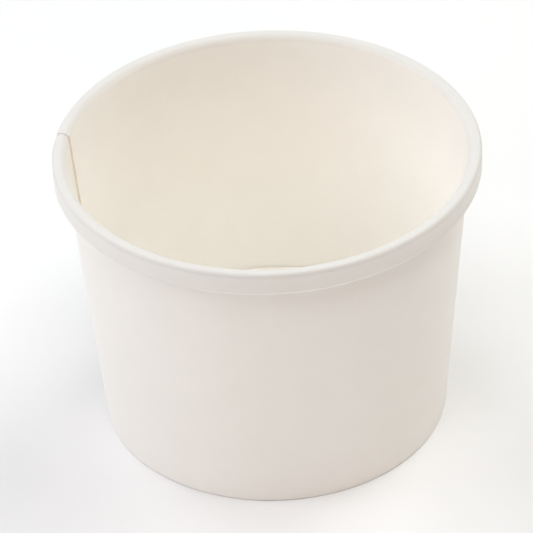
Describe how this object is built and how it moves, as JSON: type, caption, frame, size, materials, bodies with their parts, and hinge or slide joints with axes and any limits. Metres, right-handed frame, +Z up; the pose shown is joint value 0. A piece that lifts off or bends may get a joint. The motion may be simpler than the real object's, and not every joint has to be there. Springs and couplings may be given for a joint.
{
  "type": "paper sundae cup",
  "caption": "Round tapered paper sundae cup with a lapped side seam, a rolled rim, and a recessed base disc held in a turned-in foot.",
  "frame": {"origin": "middle of the foot, on the surface that the cup stands on", "axes": "+Z up along the cup's axis; the side seam is a little past -X towards +Y"},
  "size_m": [0.09, 0.09, 0.0655],
  "materials": {
    "wall_board": "coated, satin",
    "base_board": "coated, satin"
  },
  "bodies": {
    "root": {"side_wall": "wall_board", "base_disc": "base_board"}
  },
  "joints": []
}
